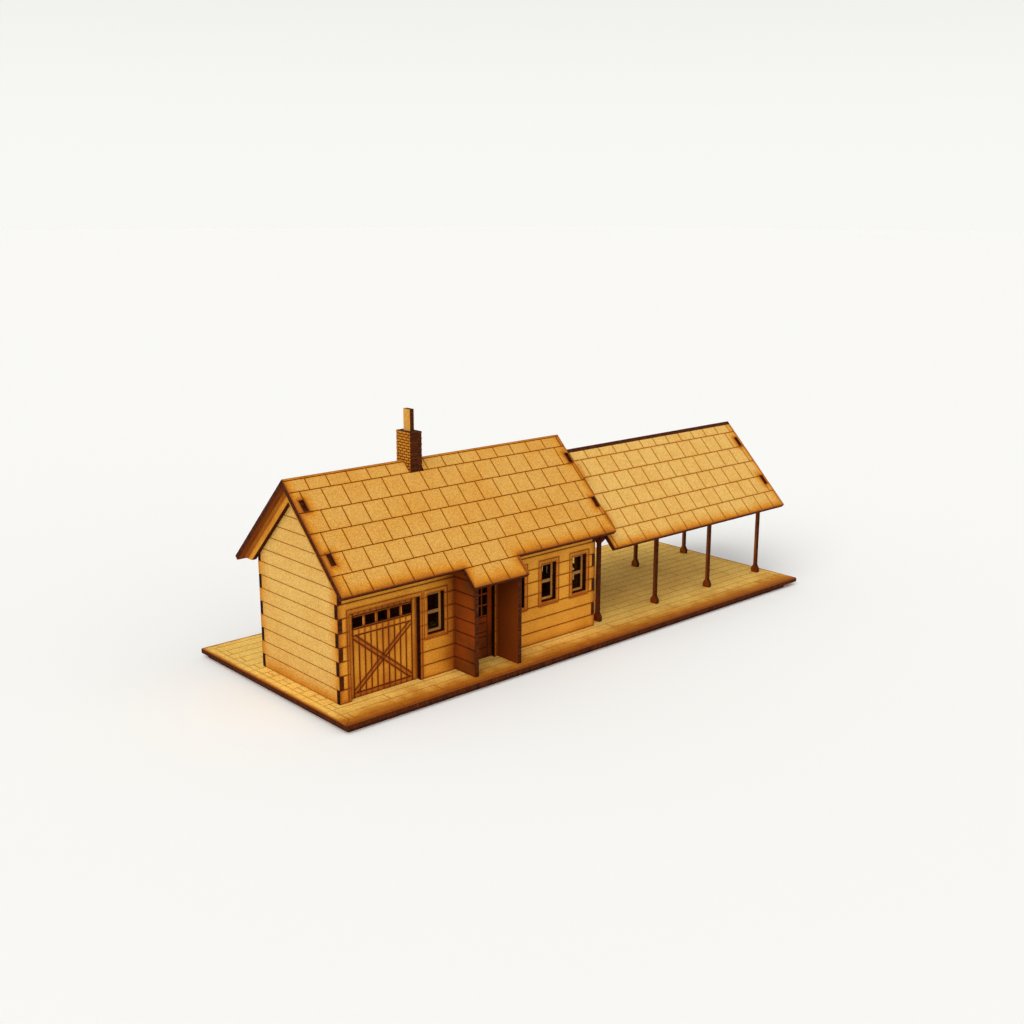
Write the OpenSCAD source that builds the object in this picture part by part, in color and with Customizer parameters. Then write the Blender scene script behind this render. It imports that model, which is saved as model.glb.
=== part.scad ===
// Scale model of a small railway station, slotted and glued together
// from flat laser cut MDF sheets on a platform base.
// X runs along the building, Y from the platform front to the back, Z up.
// The origin is the middle of the base, on its underside.

/* [Sheet] */
// Thickness of every sheet
sheet = 2; // [1.5:0.1:2.4]
// Play on each side of a tab in its slot
slot_gap = 0.1; // [0.05:0.05:0.2]

/* [Base] */
// Deck in front of the hall
front_margin = 17.2; // [17:0.1:30]
// Deck behind the hall
back_margin = 35.8; // [12:0.1:50]
// Deck to the left of the hall
left_margin = 9.1; // [6:0.1:20]
// Deck to the right of the last canopy frame
right_margin = 7.2; // [5:0.1:20]
// Set-back of the plinth under the front, the back and the left edge
plinth_inset = 2; // [0:0.5:5]
// Set-back of the plinth under the right edge
plinth_inset_right = 8; // [0:0.5:12]

/* [Hall] */
// Length over the gable walls
hall_l = 138.5; // [125:0.5:160]
// Width over the front and back walls
hall_w = 56; // [46:0.5:70]
// Height of the front and back walls
wall_h = 53.4; // [44:0.2:65]
// Height of one finger of the corner joints, and of one siding board
finger = 5.7; // [4:0.1:7]

/* [Roof] */
// Slope of both roofs, in degrees
roof_pitch = 45; // [40:1:48]
// Roof past the front and back walls
eave = 10.2; // [6:0.1:12]
// Roof past the left gable wall
verge_left = 4.6; // [3:0.1:8]
// Roof past the right gable wall
verge_right = 2.8; // [2.6:0.1:5]
// Depth of the verge boards, across the slope
verge_board_d = 4.5; // [3:0.1:6]
// How far the verge boards stop short of the eaves
verge_board_setback = 2.4; // [1:0.1:4]
// Length of the tabs that hold the roof panels
tab_l = 5; // [3:0.1:7]
// Middle of the upper tab, down the slope from the ridge
tab_upper = 13; // [9:0.1:18]
// Middle of the lower tab, down the slope from the ridge
tab_lower = 37.6; // [28:0.1:42]
// How far the tabs stop short of the top of the roof
tab_recess = 0.9; // [0.2:0.1:1.2]

/* [Chimney] */
// Left face of the stack, from the left gable wall
chimney_x = 53.3; // [20:0.1:100]
// Depth of the stack, across the ridge
chimney_d = 9.4; // [7:0.1:12]
// Height of the stack above the ridge
chimney_h = 11.8; // [8:0.1:18]
// How far the stack reaches below the inside of the ridge
chimney_drop = 5.5; // [5:0.1:12]
// Width of the flue
flue_w = 4.4; // [3:0.1:6]
// Height of the flue above the stack
flue_h = 9; // [5:0.1:14]
// Extra length of the roof slot to the right of the stack
chimney_slot_play = 0.8; // [0:0.1:1.5]

/* [Openings] */
// Height of the heads of the doors and windows above the deck
head_z = 35.3; // [30:0.1:40]
// Width of a window
window_w = 8.4; // [7:0.1:11]
// Height of a window
window_h = 17; // [12:0.1:22]
// Left side of the freight door opening, from the left gable wall
freight_x = 5.3; // [5:0.1:8]
// Width of the freight door opening
freight_w = 33.6; // [26:0.1:40]
// Middle of the first window, from the freight door opening
window_1_gap = 8.1; // [8:0.1:12]
// Middle of the second window, from the porch
window_2_gap = 8.9; // [6:0.1:12]
// Middle of the fourth window, from the right gable wall
window_4_gap = 10; // [9:0.1:14]
// Width of the porch door opening
porch_door_w = 17.8; // [12:0.1:19]
// Width of the door in the right gable wall
gable_door_w = 13; // [10:0.1:15]

/* [Door and window inserts] */
// How far an insert laps behind the wall
insert_lap = 1.4; // [1:0.1:1.6]
// Frame of an insert that shows in its opening
insert_frame = 1.3; // [0.8:0.1:2]
// Width of the meeting rail of a window
meeting_rail = 1.4; // [0.8:0.1:2]
// Width of the bars between the lights of a door
light_bar = 1.2; // [0.6:0.1:1.4]
// Width of the thin glazing bars of the porch door
glazing_bar = 0.7; // [0.5:0.1:1]
// Top lights of the freight door
freight_lights = 5; // [3:1:6]
// Height of the top lights of the freight door
freight_light_h = 4.1; // [3:0.1:6]
// Rail above the lights of a door
door_top_rail = 2.6; // [1.5:0.1:4]
// Sill of the light in the entrance doors, above the deck
door_light_z = 19; // [14:0.1:24]

/* [Porch] */
// Left face of the porch, from the middle of the first window
porch_gap = 9.8; // [7:0.1:14]
// Width of the porch over its side walls
porch_l = 25.4; // [23.5:0.1:31]
// Depth of the porch
porch_d = 12.6; // [9:0.1:14]
// Roof past the left side of the porch
porch_eave_left = 3.3; // [0.5:0.1:4]
// Roof past the right side of the porch
porch_eave_right = 0.7; // [0.5:0.1:4]
// How far the porch roof runs down below the eaves
porch_roof_l = 9.2; // [7:0.1:11]

/* [Canopy] */
// Ridge of the canopy below the ridge of the hall
canopy_drop = 7.8; // [5:0.1:12]
// Middle of the first frame, from the right gable wall
frame_start = 6.4; // [4:0.1:10]
// Spacing of the frames
frame_pitch = 39.6; // [30:0.1:42]
// Roof past the last frame
canopy_verge = 1.7; // [1:0.1:5]
// Middle of the posts, inside the line of the hall walls
post_inset = 3.8; // [3:0.1:8]
// Width of a post
post_w = 1.2; // [1:0.1:3]
// Width of the foot of a post
foot_w = 3.8; // [3:0.1:6]
// Height of the straight part of the foot
foot_h = 2; // [1:0.1:4]
// Height of the sloping shoulders of the foot
foot_shoulder_h = 2; // [1:0.1:4]
// Depth of the rafters, across the slope
rafter_d = 3; // [2:0.1:4]
// Underside of the tie beam, below the inside of the canopy over the wall line
tie_drop = 4.2; // [2:0.1:7]
// Depth of the tie beam
tie_d = 2; // [1.2:0.1:3]
// Reach of a knee brace from the middle of the post
brace_reach = 5; // [3:0.1:6]
// Width of a knee brace
brace_w = 1.3; // [1:0.1:2]

/* [Hidden] */

MDF = [0.85, 0.68, 0.40];
MDF_SHADE = [0.80, 0.62, 0.34];
MDF_DARK = [0.45, 0.27, 0.13];

// Heights in the hall's own frame, whose zero is the top of the deck
deck_z = 2 * sheet;
mid_y = hall_w / 2;
panel_l = (mid_y + eave) / cos(roof_pitch);
sheet_rise = sheet / cos(roof_pitch);
ridge_in = wall_h + mid_y * tan(roof_pitch);
ridge_out = ridge_in + sheet_rise;
canopy_out = ridge_out - canopy_drop;
canopy_in = canopy_out - sheet_rise;
verge_board_z = ridge_in - (mid_y + eave - verge_board_setback) * tan(roof_pitch);
tie_z = wall_h - canopy_drop - tie_drop;
// Gap that the upper edge of a back panel leaves for the front panel
ridge_lap = max(sheet / sin(2 * roof_pitch), sheet * tan(roof_pitch));
window_z = head_z - window_h;
window_1_x = freight_x + freight_w + window_1_gap;
porch_x = window_1_x + porch_gap;
porch_mid = porch_x + porch_l / 2;
window_2_x = porch_x + porch_l + window_2_gap;
window_4_x = hall_l - window_4_gap;
windows_x = [window_1_x, window_2_x, (window_2_x + window_4_x) / 2, window_4_x];
gable_window_y = (2 * sheet + mid_y - gable_door_w / 2 - insert_lap) / 2;
porch_door_x = porch_mid - porch_door_w / 2;
canopy_x0 = hall_l + sheet;
frames_x = [for (i = [0:3]) hall_l + frame_start + i * frame_pitch];
canopy_x1 = frames_x[3] + sheet / 2 + canopy_verge;
base_l = left_margin + frames_x[3] + right_margin;
base_w = front_margin + hall_w + back_margin;
stack_w = 3 * sheet;
cut = 1;

// ---------- frames and drawing planes ----------

// Puts the hall's front left corner where it stands on the base
module at_hall()
    translate([left_margin - base_l / 2, front_margin - base_w / 2, deck_z]) children();

// A flat piece drawn in Y and Z, one sheet thick, from x to the right
module plate_yz(x)
    translate([x, 0, 0]) rotate([90, 0, 90]) linear_extrude(sheet) children();

// A flat piece drawn in X and Z, one sheet thick, from y to the back
module plate_xz(y)
    translate([0, y + sheet, 0]) rotate([90, 0, 0]) linear_extrude(sheet) children();

// The back copy of something drawn at the front of the hall
module to_back()
    translate([0, hall_w, 0]) mirror([0, 1, 0]) children();

// Height of the inside of a roof over y, for a ridge at that inside height
function under_roof(y, ridge) = ridge - abs(y - mid_y) * tan(roof_pitch);

// ---------- base ----------

module deck_plate()
    color(MDF) translate([-base_l / 2, -base_w / 2, sheet]) cube([base_l, base_w, sheet]);

module plinth_plate()
    color(MDF_DARK) translate([plinth_inset - base_l / 2, plinth_inset - base_w / 2, 0])
        cube([
            base_l - plinth_inset - plinth_inset_right,
            base_w - 2 * plinth_inset,
            sheet
        ]);

// ---------- walls ----------

// The rows of fingers of the other wall, cut away at both ends of a wall
module finger_gaps(length, height, first) {
    for (row = [first:2:ceil(height / finger)])
        for (x = [-cut, length - sheet])
            translate([x, row * finger]) square([sheet + cut, finger]);
}

module window_hole(x)
    translate([x - window_w / 2, window_z]) square([window_w, window_h]);

// Door openings start below the deck line, so that they cut through the foot
module door_hole(x, width)
    translate([x, -cut]) square([width, head_z + cut]);

module long_wall()
    color(MDF) plate_xz(0) difference() {
        square([hall_l, wall_h]);
        finger_gaps(hall_l, wall_h, 1);
        door_hole(freight_x, freight_w);
        door_hole(porch_door_x, porch_door_w);
        for (x = windows_x) window_hole(x);
    }

// The gable walls stand up to the inside of the roof
module gable_outline()
    difference() {
        polygon([
            [0, 0], [hall_w, 0], [hall_w, wall_h], [mid_y, ridge_in], [0, wall_h]
        ]);
        finger_gaps(hall_w, wall_h, 0);
    }

module front_wall() at_hall() long_wall();
module back_wall() at_hall() to_back() long_wall();

module left_gable_wall()
    color(MDF) at_hall() plate_yz(0) gable_outline();

module right_gable_wall()
    color(MDF) at_hall() plate_yz(hall_l - sheet) difference() {
        gable_outline();
        door_hole(mid_y - gable_door_w / 2, gable_door_w);
        for (y = [gable_window_y, hall_w - gable_window_y]) window_hole(y);
    }

// ---------- door and window inserts, glued behind the walls ----------

module window_insert(x) {
    light_w = window_w - 2 * insert_frame;
    light_h = (window_h - 2 * insert_frame - meeting_rail) / 2;
    difference() {
        translate([x - window_w / 2 - insert_lap, window_z - insert_lap])
            square([window_w + 2 * insert_lap, window_h + 2 * insert_lap]);
        for (row = [0, 1])
            translate([
                x - light_w / 2,
                window_z + insert_frame + row * (light_h + meeting_rail)
            ]) square([light_w, light_h]);
    }
}

// A grid of equal lights with bars between them
module lights(x, z, width, height, columns, rows, bar) {
    w = (width - (columns - 1) * bar) / columns;
    h = (height - (rows - 1) * bar) / rows;
    for (i = [0:columns - 1], j = [0:rows - 1])
        translate([x + i * (w + bar), z + j * (h + bar)]) square([w, h]);
}

module door_blank(x, width)
    translate([x - insert_lap, 0]) square([width + 2 * insert_lap, head_z + insert_lap]);

module freight_insert() {
    frame = insert_frame + meeting_rail;
    difference() {
        door_blank(freight_x, freight_w);
        lights(
            freight_x + frame, head_z - door_top_rail - freight_light_h,
            freight_w - 2 * frame, freight_light_h, freight_lights, 1, light_bar
        );
    }
}

// An entrance door: boarded below, with small panes above
module entrance_insert(x, width, columns) {
    frame = insert_frame + light_bar;
    difference() {
        door_blank(x, width);
        lights(
            x + frame, door_light_z, width - 2 * frame,
            head_z - door_top_rail - door_light_z, columns, 3, glazing_bar
        );
    }
}

module front_insert() color(MDF_SHADE) at_hall() plate_xz(sheet) children();
module back_insert() color(MDF_SHADE) at_hall() to_back() plate_xz(sheet) children();
module gable_insert() color(MDF_SHADE) at_hall() plate_yz(hall_l - 2 * sheet) children();

module freight_door() front_insert() freight_insert();
module back_freight_door() back_insert() freight_insert();
module porch_door() front_insert() entrance_insert(porch_door_x, porch_door_w, 4);
module back_door() back_insert() entrance_insert(porch_door_x, porch_door_w, 4);
module gable_door()
    gable_insert() entrance_insert(mid_y - gable_door_w / 2, gable_door_w, 3);
module front_window(i) front_insert() window_insert(windows_x[i - 1]);
module back_window(i) back_insert() window_insert(windows_x[i - 1]);
module gable_window_front() gable_insert() window_insert(gable_window_y);
module gable_window_back() gable_insert() window_insert(hall_w - gable_window_y);

// ---------- porch ----------

// A side wall of the porch, cut off under the slope of the roof
module porch_side(x)
    color(MDF) at_hall() plate_yz(x)
        polygon([
            [0, 0], [0, wall_h],
            [-porch_d, under_roof(-porch_d, ridge_in)], [-porch_d, 0]
        ]);

module porch_left_wall() porch_side(porch_x);
module porch_right_wall() porch_side(porch_x + porch_l - sheet);

// ---------- roofs ----------

// Lays a panel, drawn with its slope going to minus Y, on the front slope
module on_front_slope(x, ridge)
    translate([x, mid_y, ridge]) rotate([roof_pitch, 0, 0])
        translate([0, 0, -sheet]) children();

module slope_panel(length, top)
    translate([0, -panel_l, 0]) cube([length, panel_l - top, sheet]);

// Slots for the tabs of a board or frame whose left face is at x
module tab_slots(x)
    for (w = [tab_upper, tab_lower])
        translate([x - slot_gap, -w - tab_l / 2 - slot_gap, -cut])
            cube([sheet + 2 * slot_gap, tab_l + 2 * slot_gap, sheet + 2 * cut]);

// The opening astride the ridge for the chimney stack
module chimney_slot()
    at_hall() translate([
        chimney_x - slot_gap,
        mid_y - chimney_d / 2 - slot_gap,
        ridge_in - mid_y * tan(roof_pitch)
    ]) cube([
        stack_w + 2 * slot_gap + chimney_slot_play,
        chimney_d + 2 * slot_gap,
        hall_w
    ]);

module hall_panel(top)
    difference() {
        slope_panel(verge_left + hall_l + verge_right, top);
        tab_slots(verge_left - sheet);
        tab_slots(verge_left + hall_l);
    }

module roof_front()
    color(MDF) difference() {
        at_hall() on_front_slope(-verge_left, ridge_out) {
            hall_panel(0);
            translate([verge_left + porch_x - porch_eave_left, -panel_l - porch_roof_l, 0])
                cube([
                    porch_eave_left + porch_l + porch_eave_right,
                    porch_roof_l + cut,
                    sheet
                ]);
        }
        chimney_slot();
    }

module roof_back()
    color(MDF) difference() {
        at_hall() to_back() on_front_slope(-verge_left, ridge_out) hall_panel(ridge_lap);
        chimney_slot();
    }

// The front canopy panel stops under the upper edge of the back one
module canopy_panel(top)
    on_front_slope(canopy_x0, canopy_out) difference() {
        slope_panel(canopy_x1 - canopy_x0, top);
        for (i = [0, 3]) tab_slots(frames_x[i] - sheet / 2 - canopy_x0);
    }

module canopy_roof_front() color(MDF) at_hall() canopy_panel(ridge_lap);
module canopy_roof_back() color(MDF) at_hall() to_back() canopy_panel(0);

// ---------- boards and frames under the roofs ----------

// A chevron that follows the inside of the roof down to the cut-off height
module chevron(ridge, depth, foot_z) {
    drop = depth / cos(roof_pitch);
    reach = (ridge - foot_z) / tan(roof_pitch);
    inner = (ridge - drop - foot_z) / tan(roof_pitch);
    polygon([
        [mid_y, ridge], [mid_y - reach, foot_z], [mid_y - inner, foot_z],
        [mid_y, ridge - drop],
        [mid_y + inner, foot_z], [mid_y + reach, foot_z]
    ]);
}

// Tabs that stand up from the inside of the roof into its slots
module tabs(ridge_top)
    for (side = [0, 1])
        translate([mid_y, ridge_top]) mirror([side, 0]) rotate(roof_pitch)
            for (w = [tab_upper, tab_lower])
                translate([-w - tab_l / 2, -sheet - cut])
                    square([tab_l, sheet + cut - tab_recess]);

module verge_board(x)
    color(MDF) at_hall() plate_yz(x) {
        chevron(ridge_in, verge_board_d, verge_board_z);
        tabs(ridge_out);
    }

module left_verge_board() verge_board(-sheet);
module right_verge_board() verge_board(hall_l);

// A post with its flared foot
module post_outline()
    polygon([
        [-foot_w / 2, 0], [foot_w / 2, 0], [foot_w / 2, foot_h],
        [post_w / 2, foot_h + foot_shoulder_h], [post_w / 2, tie_z + tie_d],
        [-post_w / 2, tie_z + tie_d], [-post_w / 2, foot_h + foot_shoulder_h],
        [-foot_w / 2, foot_h]
    ]);

// The knee braces on both sides of a post, let into the tie beam
module knee_braces() {
    rise = brace_w * sqrt(2);
    top = tie_z + tie_d / 2;
    inner = brace_reach - rise;
    polygon([
        [0, tie_z - brace_reach], [brace_reach, tie_z], [brace_reach, top],
        [inner, top], [inner, tie_z], [0, tie_z - inner],
        [-inner, tie_z], [-inner, top],
        [-brace_reach, top], [-brace_reach, tie_z]
    ]);
}

module frame_outline() {
    tie_half = (canopy_in - tie_z - tie_d) / tan(roof_pitch);
    chevron(canopy_in, rafter_d, tie_z);
    translate([mid_y - tie_half, tie_z]) square([2 * tie_half, tie_d]);
    for (y = [post_inset, hall_w - post_inset]) translate([y, 0]) {
        post_outline();
        knee_braces();
    }
}

module canopy_frame(i)
    color(MDF) at_hall() plate_yz(frames_x[i - 1] - sheet / 2) {
        frame_outline();
        if (i == 1 || i == 4) tabs(canopy_out);
    }

// ---------- chimney ----------

// One layer of the stack; the middle one stands up as the flue
module stack_layer(layer, top)
    color(MDF_SHADE) at_hall() plate_yz(chimney_x + layer * sheet) {
        bottom = ridge_in - chimney_d / 2 * tan(roof_pitch) - chimney_drop;
        translate([mid_y - chimney_d / 2, bottom])
            square([chimney_d, ridge_out + chimney_h - bottom]);
        if (top > 0)
            translate([mid_y - flue_w / 2, ridge_out])
                square([flue_w, chimney_h + top]);
    }

module chimney_left_layer() stack_layer(0, 0);
module chimney_flue_layer() stack_layer(1, flue_h);
module chimney_right_layer() stack_layer(2, 0);

// ---------- output, one node at a time ----------

deck_plate();
plinth_plate();
front_wall();
back_wall();
left_gable_wall();
right_gable_wall();
freight_door();
porch_door();
front_window(1);  // front_window_1
front_window(2);  // front_window_2
front_window(3);  // front_window_3
front_window(4);  // front_window_4
back_freight_door();
back_door();
back_window(1);  // back_window_1
back_window(2);  // back_window_2
back_window(3);  // back_window_3
back_window(4);  // back_window_4
gable_door();
gable_window_front();
gable_window_back();
porch_left_wall();
porch_right_wall();
roof_front();
roof_back();
left_verge_board();
right_verge_board();
chimney_left_layer();
chimney_flue_layer();
chimney_right_layer();
canopy_roof_front();
canopy_roof_back();
canopy_frame(1);  // canopy_frame_1
canopy_frame(2);  // canopy_frame_2
canopy_frame(3);  // canopy_frame_3
canopy_frame(4);  // canopy_frame_4
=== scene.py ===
import math

import bmesh
import bpy
from mathutils import Matrix, Vector


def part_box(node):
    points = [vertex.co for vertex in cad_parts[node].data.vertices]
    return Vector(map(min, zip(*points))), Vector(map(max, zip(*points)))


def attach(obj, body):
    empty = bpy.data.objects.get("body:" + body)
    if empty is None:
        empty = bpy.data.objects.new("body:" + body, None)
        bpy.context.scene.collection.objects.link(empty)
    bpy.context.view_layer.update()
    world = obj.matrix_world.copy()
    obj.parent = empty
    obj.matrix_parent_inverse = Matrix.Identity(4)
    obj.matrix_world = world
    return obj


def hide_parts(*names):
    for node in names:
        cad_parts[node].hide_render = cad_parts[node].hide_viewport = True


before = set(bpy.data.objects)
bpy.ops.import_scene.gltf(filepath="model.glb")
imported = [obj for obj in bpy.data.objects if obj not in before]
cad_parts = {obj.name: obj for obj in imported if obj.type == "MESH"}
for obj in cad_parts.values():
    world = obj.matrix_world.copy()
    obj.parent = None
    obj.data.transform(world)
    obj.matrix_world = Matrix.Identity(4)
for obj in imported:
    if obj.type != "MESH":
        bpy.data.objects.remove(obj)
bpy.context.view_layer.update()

# ---------- The deck and its plinth ----------
# The platform is one sheet of 2 mm MDF. A laser scored its planks and mitred border and
# burnt its cut edges dark. It is glued on a plinth sheet set back a little under it.

MM = 0.001
HALL_X0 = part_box("left_gable_wall")[0].x
HALL_X1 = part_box("right_gable_wall")[1].x
HALL_Y0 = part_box("front_wall")[0].y
HALL_Y1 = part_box("back_wall")[1].y
DECK_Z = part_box("deck_plate")[1].z
MID_Y = (HALL_Y0 + HALL_Y1) / 2


class ScoredFace:
    """The side of a sheet that the laser scored. Places on it are in mm from a corner:
    along the face, up it, and out of it."""

    def __init__(self, corner, along, up):
        self.corner = Vector(corner)
        self.along = Vector(along).normalized()
        self.up = Vector(up).normalized()
        self.out = self.along.cross(self.up)
        turn = Matrix((self.along, self.up, self.out)).transposed().to_4x4()
        self.place = Matrix.Translation(self.corner) @ turn @ Matrix.Scale(MM, 4)

    def area(self, node):
        """(left, right, bottom, top) of a CAD node on this face, in mm."""
        ends = [self.place.inverted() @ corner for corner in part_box(node)]
        across = sorted(p.x for p in ends)
        upright = sorted(p.y for p in ends)
        return (*across, *upright)


def grown(area, side, top=None, bottom=None):
    """The area with this much added at its sides, top and bottom."""
    top = side if top is None else top
    bottom = side if bottom is None else bottom
    left, right, low, high = area
    return (left - side, right + side, low - bottom, high + top)


class Wiring:
    """Adds nodes to a tree. A value is a number, a vector or another node's output."""

    def __init__(self, tree):
        self.tree = tree

    def node(self, kind, values=(), output=0, **settings):
        made = self.tree.nodes.new(kind)
        for name, value in settings.items():
            setattr(made, name, value)
        pairs = values.items() if isinstance(values, dict) else enumerate(values)
        for socket, value in pairs:
            if isinstance(value, bpy.types.NodeSocket):
                self.tree.links.new(value, made.inputs[socket])
            else:
                made.inputs[socket].default_value = value
        return made.outputs[output]

    def math(self, operation, *values, clamp=False):
        return self.node("ShaderNodeMath", values, operation=operation, use_clamp=clamp)

    def fade(self, value, start, end, low=0.0, high=1.0):
        """From low at start to high at end, with a soft curve."""
        return self.node(
            "ShaderNodeMapRange",
            (value, start, end, low, high),
            interpolation_type="SMOOTHSTEP",
        )

    def blend(self, share, first, second, how="MIX"):
        return self.node(
            "ShaderNodeMix",
            {0: share, 6: first, 7: second},
            output=2,
            data_type="RGBA",
            blend_type=how,
        )

    def noise(self, vector, scale, detail=2.0, roughness=0.5):
        return self.node(
            "ShaderNodeTexNoise",
            {"Vector": vector, "Scale": scale, "Detail": detail, "Roughness": roughness},
        )


def colour(red, green, blue):
    """A screen colour, 0 to 255, as the shader's linear one."""
    return (*((c / 255) ** 2.2 for c in (red, green, blue)), 1.0)


# How much of a groove's width a block's side gives up at its foot and at its top.
FOOT_SHARE = 0.12
TOP_SHARE = 0.5


def coursed_tree():
    """Rows of equal blocks with sloped sides, so that a V groove runs between them."""
    tree = bpy.data.node_groups.new("coursed_blocks", "GeometryNodeTree")
    tree.is_modifier = True
    for name, kind in (
        ("Columns", "Int"), ("Rows", "Int"), ("Seed", "Int"), ("Width", "Float"),
        ("Height", "Float"), ("Stagger", "Float"), ("Groove", "Float"),
        ("Depth", "Float"), ("Wobble", "Float"), ("Material", "Material"),
    ):
        tree.interface.new_socket(name, in_out="INPUT", socket_type="NodeSocket" + kind)
    tree.interface.new_socket("Blocks", in_out="OUTPUT", socket_type="NodeSocketGeometry")
    w = Wiring(tree)
    given = tree.nodes.new("NodeGroupInput").outputs

    index = w.node("GeometryNodeInputIndex")
    column = w.math("MODULO", index, given["Columns"])
    row = w.math("FLOOR", w.math("DIVIDE", index, given["Columns"]))
    shift = w.math("MULTIPLY", w.math("MODULO", row, 2.0), given["Stagger"])
    x = w.math("MULTIPLY_ADD", w.math("ADD", column, 0.5), given["Width"], shift)
    y = w.math("MULTIPLY", w.math("ADD", row, 0.5), given["Height"])
    count = w.math("MULTIPLY", given["Columns"], given["Rows"])
    points = w.node("GeometryNodePoints", (count, w.node("ShaderNodeCombineXYZ", (x, y))))

    size = w.node("ShaderNodeCombineXYZ", (given["Width"], given["Height"], given["Depth"]))
    cube = w.node("GeometryNodeMeshCube", (size,))
    place = w.node("GeometryNodeInputPosition")
    side = w.node("ShaderNodeVectorMath", (place,), operation="SIGN")
    height = w.node("ShaderNodeSeparateXYZ", (side,), output=2)
    taper = w.fade(height, -1.0, 1.0, -FOOT_SHARE, -TOP_SHARE)
    inset = w.math("MULTIPLY", taper, given["Groove"])
    flat = w.node("ShaderNodeCombineXYZ", (inset, inset, 0.0))
    offset = w.node("ShaderNodeVectorMath", (side, flat), operation="MULTIPLY")
    block = w.node("GeometryNodeSetPosition", {"Geometry": cube, "Offset": offset})
    sunk = w.node("ShaderNodeCombineXYZ", (0.0, 0.0, w.math("MULTIPLY", given["Depth"], -0.5)))
    block = w.node("GeometryNodeTransform", {"Geometry": block, "Translation": sunk})

    least = w.math("MULTIPLY", given["Wobble"], -1.0)
    angle = w.node(
        "FunctionNodeRandomValue",
        {2: least, 3: given["Wobble"], 8: given["Seed"]},
        output=1,
        data_type="FLOAT",
    )
    turn = w.node("ShaderNodeCombineXYZ", (0.0, 0.0, angle))
    rows = w.node(
        "GeometryNodeInstanceOnPoints",
        {"Points": points, "Instance": block, "Rotation": turn},
    )
    rows = w.node("GeometryNodeRealizeInstances", (rows,))
    rows = w.node("GeometryNodeSetMaterial", {"Geometry": rows, "Material": given["Material"]})
    tree.links.new(rows, tree.nodes.new("NodeGroupOutput").inputs[0])
    return tree


COURSED = coursed_tree()
GROOVE = 0.34
SCORE_DEPTH = 0.3
# How far blocks go down into the core, and past the outline of the sheet.
FLUSH = 0.05
PAST = 4.0
# How far the sheet's own face stands above the blocks while it trims them.
HAIR = 0.02
# Further than any sheet reaches, and the height of a block that cuts others.
FAR = 400.0
CUTTER_HEIGHT = 1.0
# A place nearer to a face or an edge than this is on it.
TOUCHING = 0.1


def placed(name, mesh, material):
    """A mesh as an object at the origin, with this one material."""
    mesh.materials.clear()
    mesh.materials.append(material)
    made = bpy.data.objects.new(name, mesh)
    bpy.context.scene.collection.objects.link(made)
    return made


def plain_mesh(source):
    """The mesh that an object's modifiers make; the object itself is dropped."""
    shown = source.evaluated_get(bpy.context.evaluated_depsgraph_get())
    mesh = bpy.data.meshes.new_from_object(shown)
    bpy.data.objects.remove(source)
    return mesh


def coursed(material, start, columns, rows, width, height, stagger=0.0,
            groove=GROOVE, wobble=0.0, seed=1):
    """Scored blocks in rows from the start place on a face, made by the tree. Like all
    blocks they are in the face's own mm until the sheet is whole."""
    source = placed("course", bpy.data.meshes.new("course"), material)
    laid = source.modifiers.new("laid", "NODES")
    laid.node_group = COURSED
    wanted = {
        "Columns": columns, "Rows": rows, "Seed": seed, "Width": width,
        "Height": height, "Stagger": stagger, "Groove": groove,
        "Depth": SCORE_DEPTH + FLUSH, "Wobble": math.radians(wobble),
        "Material": material,
    }
    for socket in COURSED.interface.items_tree:
        if socket.in_out == "INPUT":
            laid[socket.identifier] = wanted[socket.name]
    mesh = plain_mesh(source)
    mesh.transform(Matrix.Translation((*start, 0)))
    return placed("course", mesh, material)


def block(material, outline, groove=GROOVE, depth=SCORE_DEPTH + FLUSH, top=0.0):
    """One scored block with straight sides between the outline's points, in mm."""
    middle = sum((Vector(p) for p in outline), Vector((0, 0))) / len(outline)
    shape = bmesh.new()
    rings = []
    for level, share in ((-depth, FOOT_SHARE), (top, TOP_SHARE)):
        ring = []
        for i, point in enumerate(outline):
            before = (Vector(point) - Vector(outline[i - 1])).normalized()
            after = (Vector(outline[(i + 1) % len(outline)]) - Vector(point)).normalized()
            inward = after - before
            inward /= max(abs(before.cross(after)), 0.2)
            if inward.dot(middle - Vector(point)) < 0:
                inward = -inward
            spot = Vector(point) + inward * groove * share
            ring.append(shape.verts.new((*spot, level)))
        rings.append(ring)
    shape.faces.new(rings[1])
    shape.faces.new(rings[0][::-1])
    for i in range(len(outline)):
        j = (i + 1) % len(outline)
        shape.faces.new((rings[0][i], rings[0][j], rings[1][j], rings[1][i]))
    bmesh.ops.recalc_face_normals(shape, faces=shape.faces)
    mesh = bpy.data.meshes.new("block")
    shape.to_mesh(mesh)
    shape.free()
    return placed("block", mesh, material)


def cutter(material, outline):
    """A block with upright sides that stands above and below the scored blocks."""
    return block(material, outline, groove=0.0, depth=CUTTER_HEIGHT, top=CUTTER_HEIGHT)


def corners(area):
    """The corners of a rectangle, in order round it."""
    left, right, low, high = area
    return [(left, low), (right, low), (right, high), (left, high)]


def bar(start, end, width):
    """The corners of a straight bar between two places."""
    start, end = Vector(start), Vector(end)
    side = (end - start).normalized().orthogonal() * width / 2
    return [start - side, end - side, end + side, start + side]


def carve(piece, operation, tool):
    """Piece with the tool added, cut away, or kept only inside it."""
    change = piece.modifiers.new("carve", "BOOLEAN")
    change.operation = operation
    change.object = tool
    change.solver = "MANIFOLD"
    name, material = piece.name, piece.data.materials[0]
    mesh = plain_mesh(piece)
    bpy.data.objects.remove(tool)
    return placed(name, mesh, material)


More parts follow.
